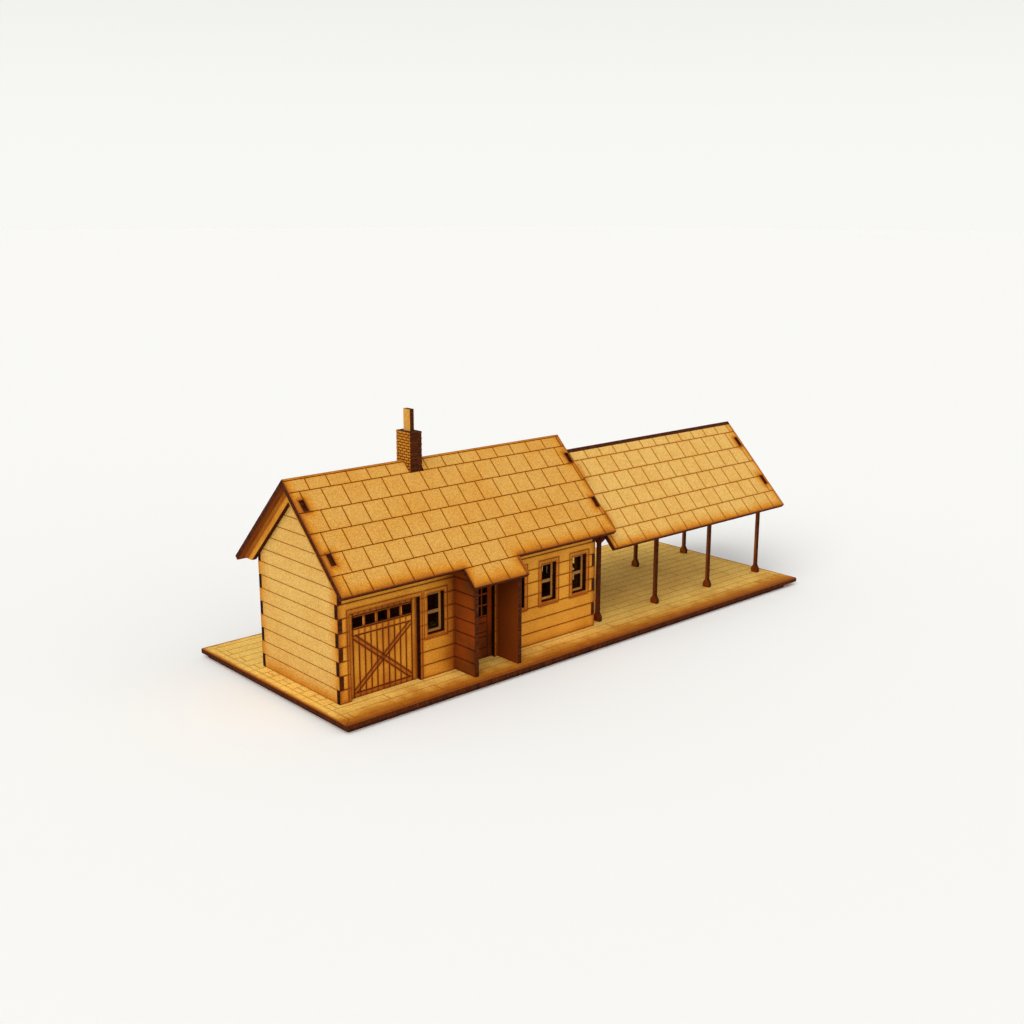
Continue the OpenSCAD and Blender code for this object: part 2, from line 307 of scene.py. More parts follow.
def joined(pieces):
    """Blocks that don't overlap, as one object."""
    shape = bmesh.new()
    for piece in pieces:
        shape.from_mesh(piece.data)
    material = pieces[0].data.materials[0]
    for piece in pieces:
        bpy.data.objects.remove(piece)
    mesh = bpy.data.meshes.new("blocks")
    shape.to_mesh(mesh)
    shape.free()
    return placed("blocks", mesh, material)


def clear_of_face(node, face, material):
    """A merged copy of a sheet in the face's mm, its scored face a hair above the blocks."""
    shape = bmesh.new()
    shape.from_mesh(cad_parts[node].data)
    bmesh.ops.remove_doubles(shape, verts=shape.verts, dist=1e-6)
    for vert in shape.verts:
        spot = face.place.inverted() @ vert.co
        level = HAIR if abs(spot.z) < TOUCHING else spot.z
        vert.co = (round(spot.x, 4), round(spot.y, 4), round(level, 4))
    mesh = bpy.data.meshes.new(node)
    shape.to_mesh(mesh)
    shape.free()
    return placed(node + "_copy", mesh, material)


def scored_sheet(name, node, face, blocks, material):
    """The sheet of a CAD node with its scored blocks standing on a thinner core. Core and
    blocks reach past the sheet's outline, which trims them together."""
    wide = [(-FAR, -FAR), (FAR, -FAR), (FAR, FAR), (-FAR, FAR)]
    core = block(material, wide, groove=0.0, depth=FAR, top=-SCORE_DEPTH)
    whole = carve(core, "UNION", blocks)
    piece = carve(whole, "INTERSECT", clear_of_face(node, face, material))
    piece.name = name
    piece.data.transform(face.place)
    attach(piece, "root")
    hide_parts(node)
    return piece


TAN = colour(212, 168, 92)
AMBER = colour(196, 128, 40)
TOASTED = colour(150, 78, 22)
BURNT = colour(92, 44, 15)
SOOT = colour(44, 21, 8)
SCORED = colour(104, 56, 20)
# The brown of the sheets' backs, undersides and inner faces: laser smoke and painted shade.
SMOKE_AND_SHADE_BROWN = colour(114, 52, 13)


def measured_from(w, area, along, up):
    """How far a place is from a rectangle's outline, in mm, less than 0 inside it."""
    left, right, low, high = area
    across = w.math("ABSOLUTE", w.math("SUBTRACT", along, (left + right) / 2))
    upright = w.math("ABSOLUTE", w.math("SUBTRACT", up, (low + high) / 2))
    across = w.math("SUBTRACT", across, (right - left) / 2)
    upright = w.math("SUBTRACT", upright, (high - low) / 2)
    outer = w.node(
        "ShaderNodeCombineXYZ",
        (w.math("MAXIMUM", across, 0.0), w.math("MAXIMUM", upright, 0.0), 0.0),
    )
    outer = w.node("ShaderNodeVectorMath", (outer,), output="Value", operation="LENGTH")
    inner = w.math("MINIMUM", w.math("MAXIMUM", across, upright), 0.0)
    return w.math("ADD", outer, inner)


def nearest(w, distances):
    """The least of some distances from a line, whichever side of it."""
    found = w.math("ABSOLUTE", distances[0])
    for other in distances[1:]:
        found = w.math("MINIMUM", found, w.math("ABSOLUTE", other))
    return found


# The scored face, the cut edges and a groove's sides are told apart by how squarely
# they look out of the sheet.
SQUARELY = 0.95
SIDEWAYS = 0.15
FIBRE_SCALE = 1900.0
BRACE_TOAST = 0.42


def toasted_more(w, toast, share):
    """The toasting with this share of what is left of it added."""
    return w.math("ADD", toast, w.math("MULTIPLY", share, w.math("SUBTRACT", 1.0, toast)))


def mdf(name, face, edges=(), lines=(), courses=(), braces=(), warmth=0.0, reach=4.0,
        edge_toast=0.6, line_toast=0.4, line_reach=1.0, tan=TAN, scored=SCORED,
        soot_and_shade=0.0, back_smoke_and_shade=0.5, char=(SOOT, BURNT), film=None):
    """Bare MDF, toasted from 0, as milled, to 1, burnt. edges are rectangles that the
    laser cut, with a fifth number where the toasting spreads more or less than usual,
    and lines are rectangles that it scored. courses are its rows, as (start along,
    start up, width, height, stagger), and braces its bars inside a field, as (field,
    start, end, width). char has the two shades of the cut edges, and film those of the
    soot on the faces, if they differ. The blend of the faces towards that film is soot,
    and on some parts painted shade as well. The back of the sheet is blended towards a
    brown that is laser smoke and painted shade."""
    material = bpy.data.materials.new(name)
    material.use_nodes = True
    w = Wiring(material.node_tree)
    shader = material.node_tree.nodes["Principled BSDF"]
    place = w.node("ShaderNodeTexCoord", output="Object")

    def measured(axis):
        metres = w.node(
            "ShaderNodeVectorMath", (place, axis), output="Value", operation="DOT_PRODUCT",
        )
        return w.math("MULTIPLY_ADD", metres, 1 / MM, -face.corner.dot(axis) / MM)

    along, up, out = measured(face.along), measured(face.up), measured(face.out)
    looks = w.node("ShaderNodeNewGeometry", output="True Normal")
    looks = w.node(
        "ShaderNodeVectorMath", (looks, face.out), output="Value", operation="DOT_PRODUCT",
    )
    front = w.math("GREATER_THAN", looks, SQUARELY)
    cut = w.math("LESS_THAN", w.math("ABSOLUTE", looks), SIDEWAYS)
    sloped = w.math("SUBTRACT", w.math("GREATER_THAN", looks, SIDEWAYS), front)
    sunk = w.math("MULTIPLY", front, w.math("LESS_THAN", out, -TOUCHING))
    grooved = w.math("MAXIMUM", sloped, sunk)

    drift = w.fade(w.noise(place, 60.0, 3.0), 0.3, 0.7)
    toast = w.math("MULTIPLY_ADD", drift, 0.1 + 0.5 * warmth, 0.75 * warmth)
    if edges:
        gap = nearest(w, [
            w.math("DIVIDE", measured_from(w, area[:4], along, up), (*area, 1.0)[4])
            for area in edges
        ])
        stray = w.fade(w.noise(place, 150.0, 2.0), 0.2, 0.8, 0.75, 1.3)
        near = w.fade(w.math("MULTIPLY", gap, stray), -reach / 2, reach, 1.3, 0.0)
        near = w.math("MULTIPLY", w.math("POWER", near, 1.5), edge_toast)
        near = w.math("MAXIMUM", near, w.fade(gap, 0.1, 0.6, 0.85, 0.0))
        toast = toasted_more(w, toast, near)
    ruled = [measured_from(w, area, along, up) for area in lines]
    for start_along, start_up, width, height, stagger in courses:
        rise = w.math("DIVIDE", w.math("SUBTRACT", up, start_up), height)
        if width:
            odd = w.math("FLOORED_MODULO", w.math("FLOOR", rise), 2.0)
            shift = w.math("SUBTRACT", along, start_along)
            shift = w.math("MULTIPLY_ADD", odd, -stagger, shift)
            ruled.append(w.math("PINGPONG", shift, width / 2))
        ruled.append(w.math("MULTIPLY", w.math("PINGPONG", rise, 0.5), height))
    for field, start, end, width in braces:
        side = (Vector(end) - Vector(start)).normalized().orthogonal()
        off = w.math("MULTIPLY_ADD", along, side.x, -side.dot(Vector(start)))
        off = w.math("ABSOLUTE", w.math("MULTIPLY_ADD", up, side.y, off))
        off = w.math("SUBTRACT", off, width / 2)
        off = w.math("MAXIMUM", off, measured_from(w, field, along, up))
        ruled.append(off)
        toast = toasted_more(w, toast, w.fade(off, 0.1, -0.1, 0.0, BRACE_TOAST))
    if ruled:
        halo = w.fade(nearest(w, ruled), 0.0, line_reach, line_toast, 0.0)
        toast = toasted_more(w, toast, w.math("MULTIPLY", halo, front))

    ramp = material.node_tree.nodes.new("ShaderNodeValToRGB")
    material.node_tree.links.new(toast, ramp.inputs[0])
    ramp.color_ramp.elements[0].color = tan
    ramp.color_ramp.elements[1].color = BURNT
    for spot, shade in ((0.45, AMBER), (0.78, TOASTED)):
        ramp.color_ramp.elements.new(spot).color = shade
    fibre = w.noise(place, FIBRE_SCALE, 4.0, 0.75)
    speckle = w.fade(fibre, 0.34, 0.66, 0.74, 1.23)
    speckle = w.node("ShaderNodeCombineXYZ", (speckle, speckle, speckle))
    shade = w.blend(1.0, ramp.outputs["Color"], speckle, "MULTIPLY")

    streak = w.node("ShaderNodeCombineXYZ", (along, up, w.math("MULTIPLY", out, 0.15)))
    charred = w.blend(w.fade(w.noise(streak, 1.6, 3.0, 0.6), 0.3, 0.75), *char)
    if soot_and_shade:
        shade = w.blend(soot_and_shade, shade, w.blend(drift, *(film or char)))
    # The back of the sheet goes towards that brown, which is laser smoke and painted shade.
    reverse = w.math("MULTIPLY", w.math("LESS_THAN", looks, -SQUARELY), back_smoke_and_shade)
    shade = w.blend(reverse, shade, SMOKE_AND_SHADE_BROWN)
    shade = w.blend(grooved, shade, scored, "DARKEN")
    shade = w.blend(cut, shade, charred)
    w.tree.links.new(shade, shader.inputs["Base Color"])
    bump = w.node("ShaderNodeBump", {"Strength": 0.25, "Distance": 0.00008, "Height": fibre})
    w.tree.links.new(bump, shader.inputs["Normal"])
    shader.inputs["Roughness"].default_value = 0.85
    shader.inputs["Specular IOR Level"].default_value = 0.1
    return material


X, Y, Z = Vector((1, 0, 0)), Vector((0, 1, 0)), Vector((0, 0, 1))
deck_low, deck_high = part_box("deck_plate")
deck_face = ScoredFace((deck_low.x, deck_low.y, deck_high.z), X, Y)
deck_area = deck_face.area("deck_plate")
BORDER = 4.1
PLANK_GROOVE = 0.22
FRONT_SPREAD = 4.8
SIDE_SPREAD = 0.6
PLANK_LENGTH = 42.0
FIRST_JOINT = 6.6
PLANK_START = FIRST_JOINT - PLANK_LENGTH
PLANK_COLUMNS = 9
PLANK_ROWS = 18
planked = grown(deck_area, -BORDER)
plank_width = (planked[3] - planked[2]) / PLANK_ROWS
deck_mdf = mdf(
    "deck_mdf", deck_face,
    edges=[(*deck_area, SIDE_SPREAD), (-FAR, FAR, -FAR, 0.0, FRONT_SPREAD)],
    lines=[planked],
    courses=[(PLANK_START, planked[2], PLANK_LENGTH, plank_width, PLANK_LENGTH / 2)],
    line_toast=0.15, line_reach=0.8, reach=4.4, warmth=0.02, edge_toast=0.88,
    tan=colour(248, 204, 104), scored=colour(164, 110, 46),
)
planks = coursed(
    deck_mdf, (PLANK_START - PLANK_LENGTH, planked[2]), PLANK_COLUMNS, PLANK_ROWS,
    PLANK_LENGTH, plank_width, PLANK_LENGTH / 2, groove=PLANK_GROOVE,
)
planks = carve(planks, "INTERSECT", cutter(deck_mdf, corners(planked)))
outer, inner = corners(deck_area), corners(planked)
border = []
for i in range(4):
    j = (i + 1) % 4
    border.append(block(deck_mdf, [outer[i], outer[j], inner[j], inner[i]], PLANK_GROOVE))
scored_sheet("deck", "deck_plate", deck_face, joined([planks, *border]), deck_mdf)

plinth_low, plinth_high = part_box("plinth_plate")
plinth_face = ScoredFace((plinth_low.x, plinth_low.y, plinth_high.z), X, Y)
plinth_mdf = mdf("plinth_mdf", plinth_face, edges=[plinth_face.area("plinth_plate")])


def unscored(node, material):
    """A sheet with nothing scored on it keeps its own shape."""
    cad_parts[node].data.materials.clear()
    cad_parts[node].data.materials.append(material)


unscored("plinth_plate", plinth_mdf)

# ---------- The long walls ----------
# Front and back are MDF sheets scored as lap siding under a plain fascia, with a casing
# round each opening. They join the gable walls in fingers, glued at the corners.

SIDING = 5.7
SIDING_ROWS = 7
SIDING_GROOVE = 0.24
WARM_TAN = colour(226, 158, 62)
BLACKENED = (colour(20, 9, 5), colour(62, 28, 10))
FASCIA = 2.0
LAP = 1.4
CASING = 1.8
DOOR_CASING = 1.2
# How far the darkening spreads from where the porch walls meet the front wall: smoke and painted
# shade in the corners.
JOINT_SMOKE_AND_SHADE_SPREADS = {"porch_left_wall": 5.0, "porch_right_wall": 1.9}
front_face = ScoredFace((HALL_X0, HALL_Y0, DECK_Z), X, Z)
back_face = ScoredFace((HALL_X1, HALL_Y1, DECK_Z), -X, Z)
hall_length = (HALL_X1 - HALL_X0) / MM
hall_width = (HALL_Y1 - HALL_Y0) / MM


def window_opening(face, insert):
    return grown(face.area(insert), -LAP)


def door_opening(face, insert):
    return grown(face.area(insert), -LAP, -LAP, 0.0)


def siding(material, casings, length, rows):
    """Boards in rows with the casing areas left out, and each casing as a block."""
    boards = coursed(
        material, (-PAST, 0.0), 1, rows, length + 2 * PAST, SIDING, groove=SIDING_GROOVE,
    )
    frames = []
    for area in casings:
        boards = carve(boards, "DIFFERENCE", cutter(material, corners(area)))
        frames.append(block(material, corners(area), groove=SIDING_GROOVE))
    return [boards, *frames]


def long_wall(node, face, windows, doors, joints=()):
    open_windows = [window_opening(face, insert) for insert in windows]
    open_doors = [door_opening(face, insert) for insert in doors]
    casings = [grown(area, CASING) for area in open_windows]
    casings += [grown(area, DOOR_CASING, CASING, PAST) for area in open_doors]
    siding_top = SIDING * SIDING_ROWS
    fascia_top = siding_top + FASCIA
    material = mdf(
        node + "_mdf", face,
        edges=[(0.0, hall_length, 0.0, FAR), *open_windows, *open_doors, *joints],
        lines=casings + [(-FAR, FAR, siding_top, fascia_top)],
        courses=[(0.0, 0.0, 0.0, SIDING, 0.0)],
        warmth=0.25, reach=4.4, edge_toast=0.72, line_toast=0.6, line_reach=0.8,
        tan=WARM_TAN, scored=colour(98, 48, 16), back_smoke_and_shade=0.95, char=BLACKENED,
    )
    blocks = siding(material, casings, hall_length, SIDING_ROWS)
    top = face.area(node)[3] + PAST
    for low, high in ((siding_top, fascia_top), (fascia_top, top)):
        blocks.append(block(material, corners((-PAST, hall_length + PAST, low, high))))
    return scored_sheet(node + "_sheet", node, face, joined(blocks), material)


windows = [f"window_{i}" for i in range(1, 5)]
# The front wall is painted darker round the porch walls' joints: smoke and painted shade.
joint_smoke_and_shade = [
    (*front_face.area(node), spread) for node, spread in JOINT_SMOKE_AND_SHADE_SPREADS.items()
]
long_wall(
    "front_wall", front_face, ["front_" + name for name in windows],
    ["freight_door", "porch_door"], joint_smoke_and_shade,
)
long_wall(
    "back_wall", back_face, ["back_" + name for name in windows],
    ["back_freight_door", "back_door"],
)

# ---------- The gable walls ----------
# The ends of the hall, of the same sheet and siding. The left one is blind; the right
# one opens on the platform with a door between two windows.

left_face = ScoredFace((HALL_X0, HALL_Y1, DECK_Z), -Y, Z)
right_face = ScoredFace((HALL_X1, HALL_Y0, DECK_Z), Y, Z)
GABLE_ROWS = 14


def gable_wall(node, face, windows, doors, warmth):
    open_windows = [window_opening(face, insert) for insert in windows]
    open_doors = [door_opening(face, insert) for insert in doors]
    casings = [grown(area, CASING) for area in open_windows]
    casings += [grown(area, CASING, CASING, PAST) for area in open_doors]
    material = mdf(
        node + "_mdf", face,
        edges=[(0.0, hall_width, 0.0, FAR), *open_windows, *open_doors],
        lines=casings,
        courses=[(0.0, 0.0, 0.0, SIDING, 0.0)],
        warmth=warmth, reach=9.0, edge_toast=0.6, line_toast=0.2, line_reach=0.8,
        back_smoke_and_shade=0.9,
    )
    blocks = siding(material, casings, hall_width, GABLE_ROWS)
    return scored_sheet(node + "_sheet", node, face, joined(blocks), material)


gable_wall("left_gable_wall", left_face, [], [], warmth=0.0)
gable_wall(
    "right_gable_wall", right_face, ["gable_window_front", "gable_window_back"],
    ["gable_door"], warmth=0.25,
)

# ---------- The freight doors ----------
# Boarded doors with a row of small lights, scored on a sheet glued behind the wall.
# Ten upright boards are crossed by an X brace, which the laser outlined most heavily.

INSERT_FRAME = 2.7
TOP_RAIL = 2.6
LIGHT_HEIGHT = 4.1
BOARDS = 10
BOTTOM_RAIL = 2.0
MID_RAIL = 2.6
BRACE = 1.9
BRACE_GROOVE = 0.56
LIGHT_RIM = 0.6
OPENING_SPREAD = 1.3
LIGHT_SPREAD = 0.5
WALL_SHEET = 2.0


def insert_face(wall):
    """The outer face of a sheet glued behind a wall."""
    return ScoredFace(wall.corner - wall.out * WALL_SHEET * MM, wall.along, wall.up)


def freight_door(node, wall):
    face = insert_face(wall)
    left, right, low, high = opening = door_opening(face, node)
    in_left, in_right = left + INSERT_FRAME, right - INSERT_FRAME
    lights = (in_left, in_right, high - TOP_RAIL - LIGHT_HEIGHT, high - TOP_RAIL)
    light_band = grown(lights, 0.0, LIGHT_RIM, LIGHT_RIM)
    field = (in_left, in_right, low + BOTTOM_RAIL, light_band[2] - MID_RAIL)
    board = (in_right - in_left) / BOARDS
    diagonals = [
        ((field[0], field[3]), (field[1], field[2])),
        ((field[0], field[2]), (field[1], field[3])),
    ]
    material = mdf(
        node + "_mdf", face,
        edges=[(*opening, OPENING_SPREAD), (*lights, LIGHT_SPREAD)],
        lines=[light_band, field],
        courses=[(in_left, -FAR, board, 2 * FAR, 0.0)],
        braces=[(field, start, end, BRACE) for start, end in diagonals],
        warmth=0.42, reach=4.0, edge_toast=0.85, line_toast=0.7, line_reach=0.9,
        tan=WARM_TAN, scored=BLACKENED[1], char=BLACKENED,
    )
    boards = coursed(
        material, (in_left, field[2]), BOARDS, 1, board, field[3] - field[2],
    )
    first, second = (bar(start, end, BRACE) for start, end in diagonals)
    brace = block(material, first, groove=BRACE_GROOVE)
    rising = block(material, second, groove=BRACE_GROOVE)
    rising = carve(rising, "DIFFERENCE", cutter(material, first))
    for outline in (first, second):
        boards = carve(boards, "DIFFERENCE", cutter(material, outline))
    crossed = joined([boards, brace, rising])
    crossed = carve(crossed, "INTERSECT", cutter(material, corners(field)))
    rails = [
        (left - PAST, in_left, low - PAST, high + PAST),
        (in_right, right + PAST, low - PAST, high + PAST),
        (in_left, in_right, low - PAST, field[2]),
        (in_left, in_right, field[3], light_band[2]),
        light_band,
        (in_left, in_right, light_band[3], high + PAST),
    ]
    blocks = [crossed, *(block(material, corners(area)) for area in rails)]
    return scored_sheet(node + "_leaf", node, face, joined(blocks), material)


freight_door("freight_door", front_face)
freight_door("back_freight_door", back_face)

# ---------- The entrance doors ----------
# Panelled doors with small panes above. Each is one MDF sheet, scored, with its panes
# cut out, and glued behind its opening.

PANE_LOW = 19.0
ENTRANCE_FRAME = 2.5
PANEL_LINES = (4.6, 9.6, 11.6, 15.7)
RED_BROWN = (colour(66, 22, 5), colour(134, 54, 12))


def entrance_door(node, wall, soot_and_shade):
    face = insert_face(wall)
    left, right, low, high = opening = door_opening(face, node)
    in_left, in_right = left + ENTRANCE_FRAME, right - ENTRANCE_FRAME
    band = (in_left, in_right, low + PANE_LOW - LIGHT_RIM, high - TOP_RAIL + LIGHT_RIM)
    levels = [low - PAST, *(low + line for line in PANEL_LINES), band[2]]
    panels = [(in_left, in_right, a, b) for a, b in zip(levels, levels[1:])]
    material = mdf(
        node + "_mdf", face, edges=[opening], lines=[band, *panels], warmth=0.5, reach=3.0,
        tan=WARM_TAN, scored=BLACKENED[1], char=BLACKENED, soot_and_shade=soot_and_shade, film=RED_BROWN,
    )
    areas = [
        (left - PAST, in_left, low - PAST, high + PAST),
        (in_right, right + PAST, low - PAST, high + PAST),
        band,
        (in_left, in_right, band[3], high + PAST),
        *panels,
    ]
    blocks = joined([block(material, corners(area)) for area in areas])
    return scored_sheet(node + "_leaf", node, face, blocks, material)


# The porch door goes furthest towards its brown film: soot and painted shade of the porch.
entrance_door("porch_door", front_face, soot_and_shade=0.93)
entrance_door("back_door", back_face, soot_and_shade=0.65)
entrance_door("gable_door", right_face, soot_and_shade=0.65)

# ---------- The windows ----------
# Sash frames, each a small sheet with two lights cut out, glued behind its opening.
# The cuts on either side of their narrow bars browned them.

SASH = colour(136, 96, 56)


def sash(node, wall):
    face = insert_face(wall)
    unscored(node, mdf(
        node + "_mdf", face, edges=[window_opening(face, node)], tan=SASH,
        reach=1.6, edge_toast=1.0, char=BLACKENED,
    ))


for window in windows:
    sash("front_" + window, front_face)
    sash("back_" + window, back_face)
sash("gable_window_front", right_face)
sash("gable_window_back", right_face)

# ---------- The porch ----------
# Two side walls of the same sheet, glued to the front wall, carry the long part of the
# roof. Each has siding scored on its outer side and is plain inside. Both faces are
# brown from the smoke of the cuts, and the inner face is darker still with painted shade.

PORCH_ROWS = 11
PORCH_WARMTH = 0.3


def porch_wall(node, face):
    area = face.area(node)
    material = mdf(
        node + "_mdf", face, edges=[area], courses=[(0.0, 0.0, 0.0, SIDING, 0.0)],
        warmth=PORCH_WARMTH, reach=3.0, tan=WARM_TAN, scored=SOOT, soot_and_shade=0.9, back_smoke_and_shade=0.8,
        film=RED_BROWN,
    )
    boards = coursed(material, (-PAST, 0.0), 1, PORCH_ROWS, area[1] + 2 * PAST, SIDING)
    return scored_sheet(node + "_sheet", node, face, boards, material)


porch_left_low, porch_left_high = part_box("porch_left_wall")
porch_right_low, porch_right_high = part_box("porch_right_wall")
porch_left = ScoredFace((porch_left_low.x, porch_left_high.y, DECK_Z), -Y, Z)
porch_right = ScoredFace((porch_right_high.x, porch_right_low.y, DECK_Z), Y, Z)
porch_wall("porch_left_wall", porch_left)
porch_wall("porch_right_wall", porch_right)

# ---------- The hall roof ----------
# Two MDF sheets scored with staggered square tiles, one lapping the other at the ridge.
# The verges, the eaves and the rims of the tab slots are toasted by the laser.

TILE = 9.6
COURSE = 9.5
TILE_GROOVE = 0.36
RIDGE_LINE = 1.0
TOP_COURSE = 6.5
ROOF_TAN = colour(205, 156, 80)
EAVE_SPREAD = 1.6
LAP_SPREAD = 1.4
RIDGE_SPREAD = 0.3
SLOT_LENGTH = 5.2
SLOT_WIDTH = 2.2
UPPER_TAB = 13.0
LOWER_TAB = 37.6
roof_low, roof_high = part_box("roof_front")
roof_front_face = ScoredFace((roof_low.x, MID_Y, roof_high.z), X, Y + Z)
roof_back_face = ScoredFace((roof_high.x, MID_Y, roof_high.z), -X, Z - Y)


def slot_areas(places):
    """The two tab slots over each board or frame, centred on these places."""
    return [
        (x - SLOT_WIDTH / 2, x + SLOT_WIDTH / 2, -w - SLOT_LENGTH / 2, -w + SLOT_LENGTH / 2)
        for x in places
        for w in (UPPER_TAB, LOWER_TAB)
    ]


def cut_outline(node, face, eave_spread):
    """What lies round a sheet, as rectangles with their edges where the laser cut it:
    the verges, the ridge, the eave, and beside the lap over the porch if it has one."""
    spots = [face.place.inverted() @ v.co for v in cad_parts[node].data.vertices]
    spots = [p for p in spots if abs(p.z) < TOUCHING]
    length = max(p.x for p in spots)
    eave = min(p.y for p in spots if p.x < TOUCHING)
    foot = min(p.y for p in spots)
    outline = [(-FAR, 0.0, -FAR, FAR), (length, FAR, -FAR, FAR)]
    outline.append((-FAR, FAR, 0.0, FAR, RIDGE_SPREAD))
    outline.append((-FAR, FAR, -FAR, foot, eave_spread))
    lap = [p.x for p in spots if p.y < eave - TOUCHING]
    if lap:
        outline.append((-FAR, min(lap), -FAR, eave, LAP_SPREAD))
        outline.append((max(lap), FAR, -FAR, eave, LAP_SPREAD))
    return outline


def tiled_sheet(node, face, tile_start, rows, top_course, slots_at, eave_spread, seed, **looks):
    """A roof sheet with its tiles in equal rows, up to a lower top course and the line
    under the ridge. The tiles stand a little out of true."""
    length = face.area(node)[1]
    foot = -(top_course + rows * COURSE)
    # Its underside, seen under the eaves and verges, is painted darker: laser smoke and painted
    # shade.
    material = mdf(
        node + "_mdf", face,
        edges=cut_outline(node, face, eave_spread) + slot_areas(slots_at),
        lines=[(-FAR, FAR, -RIDGE_LINE, FAR)],
        courses=[(tile_start, foot, TILE, COURSE, TILE / 2)],
        line_toast=0.3, line_reach=1.0, reach=6.5, edge_toast=0.8, back_smoke_and_shade=0.75, **looks,
    )
    columns = math.ceil(length / TILE) + 3
    upper_start = tile_start + (TILE / 2 if rows % 2 else 0.0)
    blocks = [
        coursed(
            material, (tile_start - TILE, foot), columns, rows, TILE, COURSE, TILE / 2,
            groove=TILE_GROOVE, wobble=0.4, seed=seed,
        ),
        coursed(
            material, (upper_start - TILE, -top_course), columns, 1, TILE,
            top_course - RIDGE_LINE, groove=TILE_GROOVE, wobble=0.2, seed=seed + 1,
        ),
        block(material, corners((-PAST, length + PAST, -RIDGE_LINE, PAST)), TILE_GROOVE),
    ]
    return scored_sheet(node + "_sheet", node, face, joined(blocks), material)


def slots_over(nodes, start):
    """Where the tabs of upright sheets come up through a roof that starts here, in mm."""
    return [(sum(corner.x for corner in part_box(node)) / 2 - start) / MM for node in nodes]


hall_slots = slots_over(("left_verge_board", "right_verge_board"), roof_low.x)
roof_length = roof_front_face.area("roof_front")[1]
for node, face, rows, slots_at, seed in (
    ("roof_front", roof_front_face, 6, hall_slots, 3),
    ("roof_back", roof_back_face, 5, [roof_length - x for x in hall_slots], 7),
):
    tiled_sheet(
        node, face, 0.0, rows, TOP_COURSE, slots_at, EAVE_SPREAD, seed,
        tan=ROOF_TAN, warmth=0.1,
    )

# ---------- The canopy roof ----------
# The same tiles on two lighter sheets over the platform. Here the back sheet laps the
# front one, so a charred strip of its edge shows along the ridge.

CANOPY_TILE_START = 2.2
CANOPY_ROWS = 5
CANOPY_TOP_COURSE = 6.7
CANOPY_EAVE_SPREAD = 1.2
canopy_low, canopy_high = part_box("canopy_roof_back")
canopy_front_face = ScoredFace((canopy_low.x, MID_Y, canopy_high.z), X, Y + Z)
canopy_back_face = ScoredFace((canopy_high.x, MID_Y, canopy_high.z), -X, Z - Y)
canopy_slots = slots_over(("canopy_frame_1", "canopy_frame_4"), canopy_low.x)
canopy_length = canopy_front_face.area("canopy_roof_front")[1]
for node, face, slots_at, seed in (
    ("canopy_roof_front", canopy_front_face, canopy_slots, 11),
    ("canopy_roof_back", canopy_back_face, [canopy_length - x for x in canopy_slots], 13),
):
    tiled_sheet(
        node, face, CANOPY_TILE_START, CANOPY_ROWS, CANOPY_TOP_COURSE, slots_at,
        CANOPY_EAVE_SPREAD, seed, scored=colour(136, 84, 36),
    )

# ---------- The verge boards ----------
# Slim chevrons of MDF sheet under the ends of the hall roof, glued with their tabs up
# in its slots. They are darker along the upper edge, under the roof.

UNDER_ROOF = 4.0
for node, along in (("left_verge_board", -Y), ("right_verge_board", Y)):
    low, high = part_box(node)
    corner = (low.x, MID_Y, low.z) if along == -Y else (high.x, MID_Y, low.z)
    board_face = ScoredFace(corner, along, Z)
    apex = (high.z - low.z) / MM
    under_roof = [
        ((-FAR, FAR, -FAR, FAR), (0.0, apex), (side * apex, 0.0), UNDER_ROOF)
        for side in (-1, 1)
    ]
    board_mdf = mdf(node + "_mdf", board_face, braces=under_roof, warmth=0.4, tan=WARM_TAN)
    unscored(node, board_mdf)

# ---------- The canopy frames ----------
# Each frame is one piece of sheet cut as two posts, knee braces, tie and rafters. Its
# members are so narrow that the laser browned them right through. Painted shade from the
# hall roof makes the first frame darkest, and each further one lighter.

FIRST_FRAME_SOOT_AND_SHADE = 0.9
FRAME_SHADE_STEP = 0.18
for i in range(1, 5):
    node = f"canopy_frame_{i}"
    low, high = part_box(node)
    frame_face = ScoredFace((low.x, low.y, low.z), -Y, Z)
    # Painted shade: the first frame, under the hall roof, is darkest and each later one lighter.
    soot_and_shade = FIRST_FRAME_SOOT_AND_SHADE - FRAME_SHADE_STEP * (i - 1)
    unscored(node, mdf(node + "_mdf", frame_face, warmth=0.7, soot_and_shade=soot_and_shade, film=RED_BROWN))

# ---------- The chimney ----------
# Three layers of sheet glued flat: bricks are scored on the outer two, and the middle
# one stands up as the flue.

BRICK = 2.7
BRICK_COURSE = 1.18
BRICK_COLUMNS = 6
for node, along in (("chimney_left_layer", -Y), ("chimney_right_layer", Y)):
    low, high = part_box(node)
    corner = (low.x, high.y, low.z) if along == -Y else (high.x, low.y, low.z)
    brick_face = ScoredFace(corner, along, Z)
    area = brick_face.area(node)
    rows = math.ceil(area[3] / BRICK_COURSE)
    start = area[3] - rows * BRICK_COURSE
    brick_mdf = mdf(
        node + "_mdf", brick_face, courses=[(0.0, start, BRICK, BRICK_COURSE, BRICK / 2)],
        warmth=0.62, line_toast=0.5, line_reach=0.45, tan=ROOF_TAN, scored=SOOT,
    )
    bricks = coursed(
        brick_mdf, (-BRICK, start), BRICK_COLUMNS, rows, BRICK, BRICK_COURSE, BRICK / 2,
        groove=0.26,
    )
    scored_sheet(node + "_bricks", node, brick_face, bricks, brick_mdf)
low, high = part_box("chimney_flue_layer")
flue_face = ScoredFace((low.x, high.y, low.z), -Y, Z)
unscored("chimney_flue_layer", mdf("flue_mdf", flue_face, warmth=0.25))

# ---------- The studio ----------
# A pale paper floor in a bright room. One broad lamp shines from above, left of the
# front, and a weaker one low from the front.

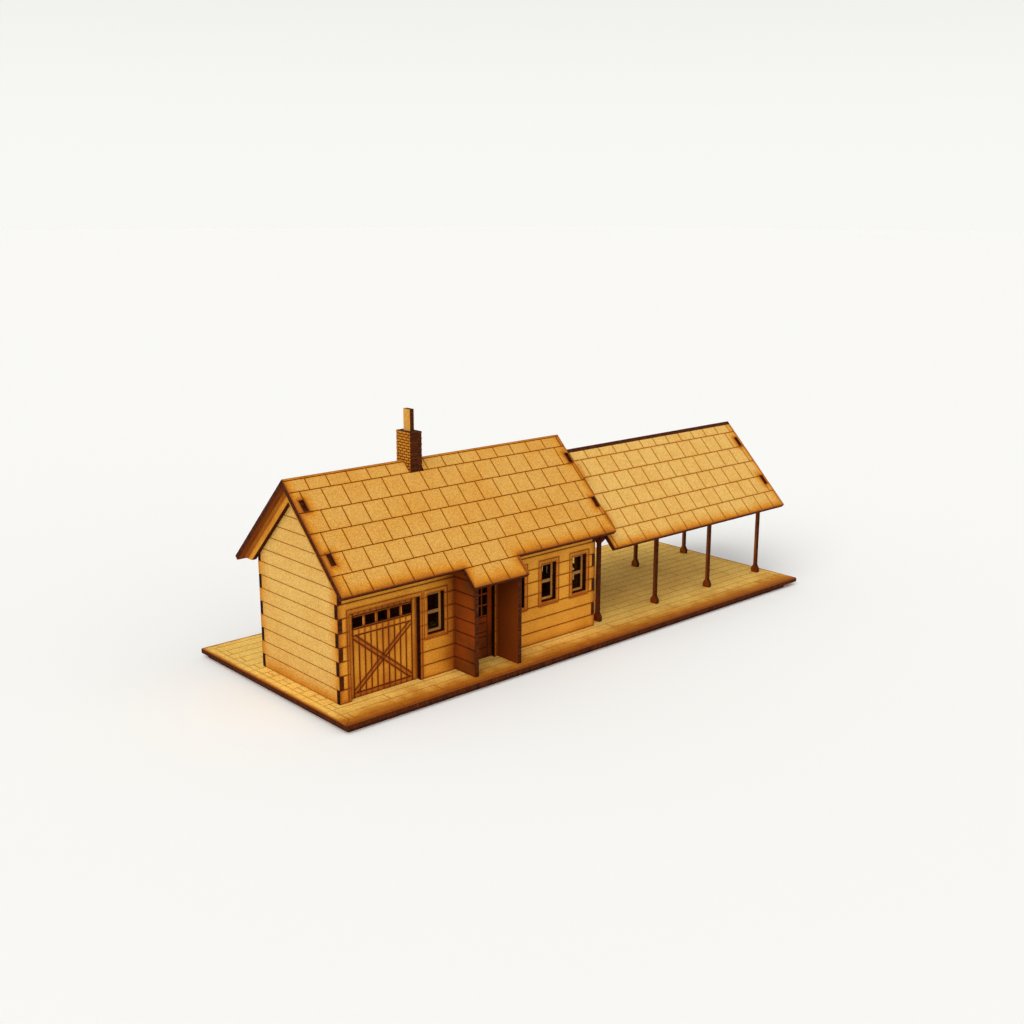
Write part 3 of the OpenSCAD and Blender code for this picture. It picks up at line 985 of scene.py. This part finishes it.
FLOOR = 12.0
PAPER = (0.925, 0.925, 0.91, 1)
ROOM_EDGE = colour(248, 248, 244)
ROOM_TOP = (0.5, 0.5, 0.5, 1)
floor_mesh = bpy.data.meshes.new("floor")
floor_mesh.from_pydata(
    [(-FLOOR, -FLOOR, 0), (FLOOR, -FLOOR, 0), (FLOOR, FLOOR, 0), (-FLOOR, FLOOR, 0)],
    [], [(0, 1, 2, 3)],
)
paper = bpy.data.materials.new("floor_paper")
paper.use_nodes = True
paper_shader = paper.node_tree.nodes["Principled BSDF"]
paper_shader.inputs["Base Color"].default_value = PAPER
paper_shader.inputs["Roughness"].default_value = 0.9
paper_shader.inputs["Specular IOR Level"].default_value = 0.0
placed("floor", floor_mesh, paper)

world = bpy.data.worlds.new("studio")
world.use_nodes = True
room = Wiring(world.node_tree)
rise = room.node("ShaderNodeTexCoord", output="Generated")
rise = room.node("ShaderNodeSeparateXYZ", (rise,), output=2)
sky = room.blend(room.fade(rise, 0.02, 0.6), ROOM_EDGE, ROOM_TOP)
world.node_tree.links.new(sky, world.node_tree.nodes["Background"].inputs["Color"])
bpy.context.scene.world = world


def lamp(name, aim, power, spread, tint=(1, 1, 1)):
    """A broad lamp far away, shining along this direction."""
    light = bpy.data.lights.new(name, "SUN")
    light.energy = power
    light.angle = math.radians(spread)
    light.color = tint
    made = bpy.data.objects.new(name, light)
    made.rotation_euler = Vector(aim).to_track_quat("-Z", "Y").to_euler()
    bpy.context.scene.collection.objects.link(made)


lamp("window_light", (0.85, 0.4, -0.9), 1.8, 50, (1.0, 0.985, 0.95))
lamp("front_light", (-0.25, 0.9, -0.35), 0.7, 70)

# ---------- The camera ----------
# It stands off the front left corner of the deck, a little above the roof, and looks
# slightly down.

LENS = 42.76
YAW, PITCH, ROLL = (math.radians(a) for a in (42.21, 13.87, 0.18))
EYE = Vector((-0.3732, -0.4015, 0.1870))
ahead = Vector((math.sin(YAW), math.cos(YAW), 0)) * math.cos(PITCH) - Z * math.sin(PITCH)
level = Vector((math.cos(YAW), -math.sin(YAW), 0))
above = level.cross(ahead)
right = level * math.cos(ROLL) + above * math.sin(ROLL)
top = above * math.cos(ROLL) - level * math.sin(ROLL)
camera = bpy.data.cameras.new("camera")
camera.lens = LENS
camera.sensor_width = 36
camera.clip_start = 0.01
stand = bpy.data.objects.new("camera", camera)
stand.matrix_world = Matrix.Translation(EYE) @ Matrix((right, top, -ahead)).transposed().to_4x4()
bpy.context.scene.collection.objects.link(stand)
bpy.context.scene.camera = stand
bpy.context.scene.view_settings.view_transform = "Standard"
